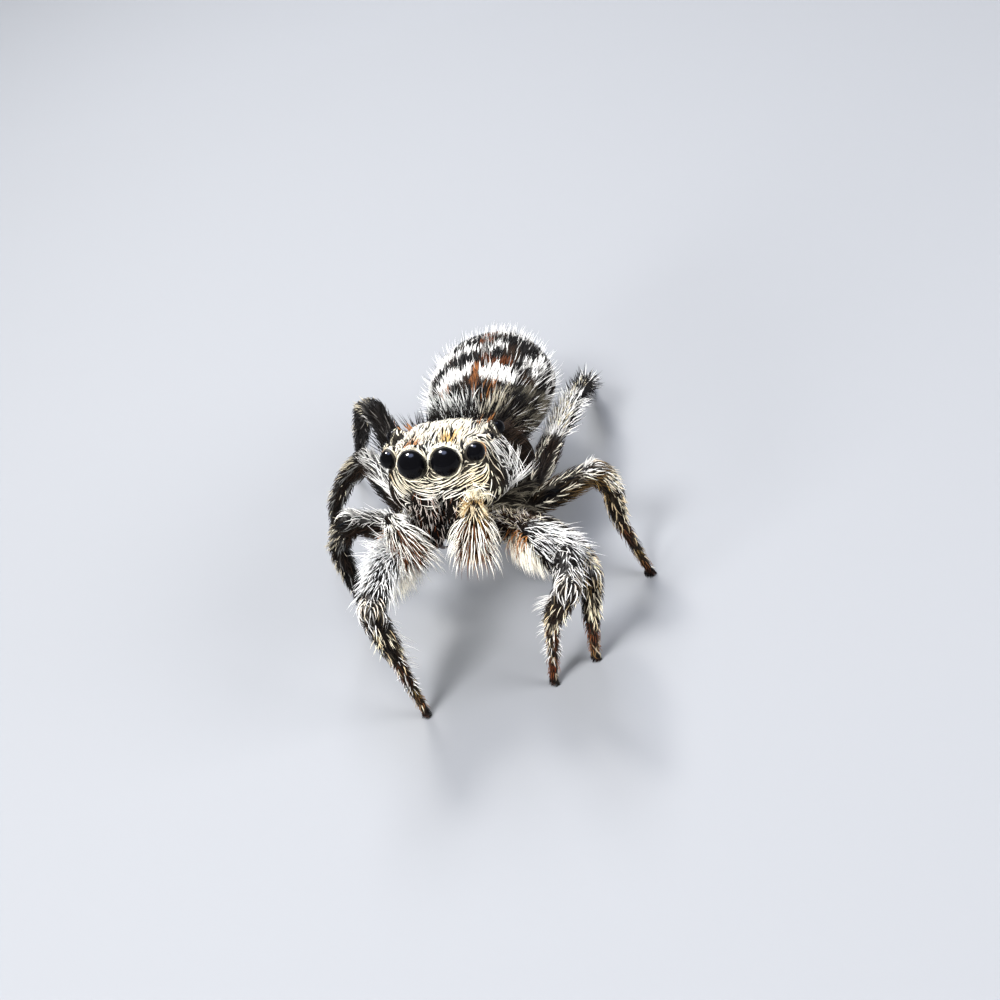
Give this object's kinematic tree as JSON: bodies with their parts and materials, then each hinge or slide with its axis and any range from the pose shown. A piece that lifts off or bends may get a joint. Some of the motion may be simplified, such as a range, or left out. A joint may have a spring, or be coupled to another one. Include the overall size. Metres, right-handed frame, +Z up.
{
  "type": "life-size museum-style model of a hairy jumping spider",
  "caption": "Still model of a hairy jumping spider standing alert, front raised, with large forward eyes, fringed front legs, brushy palps and an oval patterned abdomen, for display.",
  "frame": {"origin": "middle of the bounding box at floor level, on the plane the feet stand on", "axes": "+Z up, +Y along the body from the eyes to the spinnerets, the spider faces -Y, +X towards its left side"},
  "size_m": [0.0096, 0.0136, 0.0058],
  "materials": {
    "eye_black": "glossy",
    "carapace_hair": "matte",
    "underside_hair": "matte",
    "abdomen_hair": "matte",
    "jaw_hair": "matte",
    "fang_horn": "glossy",
    "palp_hair": "matte",
    "leg_pale_hair": "matte",
    "leg_dark_hair": "matte"
  },
  "bodies": {
    "root": {"eye_AME_L": "eye_black", "eye_AME_R": "eye_black", "eye_ALE_L": "eye_black", "eye_ALE_R": "eye_black", "eye_PME_L": "eye_black", "eye_PME_R": "eye_black", "eye_PLE_L": "eye_black", "eye_PLE_R": "eye_black", "carapace": "carapace_hair", "chelicera_L": "jaw_hair", "chelicera_R": "jaw_hair", "fang_L": "fang_horn", "fang_R": "fang_horn", "sternum": "underside_hair", "coxa_L1": "underside_hair", "coxa_L2": "underside_hair", "coxa_L3": "underside_hair", "coxa_L4": "underside_hair", "coxa_R1": "underside_hair", "coxa_R2": "underside_hair", "coxa_R3": "underside_hair", "coxa_R4": "underside_hair", "palp_arm_L": "palp_hair", "palp_brush_L": "palp_hair", "palp_arm_R": "palp_hair", "palp_brush_R": "palp_hair", "femur_L1": "leg_pale_hair", "patella_L1": "leg_pale_hair", "tibia_L1": "leg_dark_hair", "foot_L1": "leg_dark_hair", "femur_L2": "leg_pale_hair", "patella_L2": "leg_pale_hair", "tibia_L2": "leg_dark_hair", "foot_L2": "leg_dark_hair", "femur_L3": "leg_pale_hair", "patella_L3": "leg_pale_hair", "tibia_L3": "leg_dark_hair", "foot_L3": "leg_dark_hair", "femur_L4": "leg_pale_hair", "patella_L4": "leg_pale_hair", "tibia_L4": "leg_dark_hair", "foot_L4": "leg_dark_hair", "femur_R1": "leg_pale_hair", "patella_R1": "leg_pale_hair", "tibia_R1": "leg_dark_hair", "foot_R1": "leg_dark_hair", "femur_R2": "leg_pale_hair", "patella_R2": "leg_pale_hair", "tibia_R2": "leg_dark_hair", "foot_R2": "leg_dark_hair", "femur_R3": "leg_pale_hair", "patella_R3": "leg_pale_hair", "tibia_R3": "leg_dark_hair", "foot_R3": "leg_dark_hair", "femur_R4": "leg_pale_hair", "patella_R4": "leg_pale_hair", "tibia_R4": "leg_dark_hair", "foot_R4": "leg_dark_hair", "abdomen": "abdomen_hair", "spinnerets": "underside_hair"}
  },
  "joints": []
}
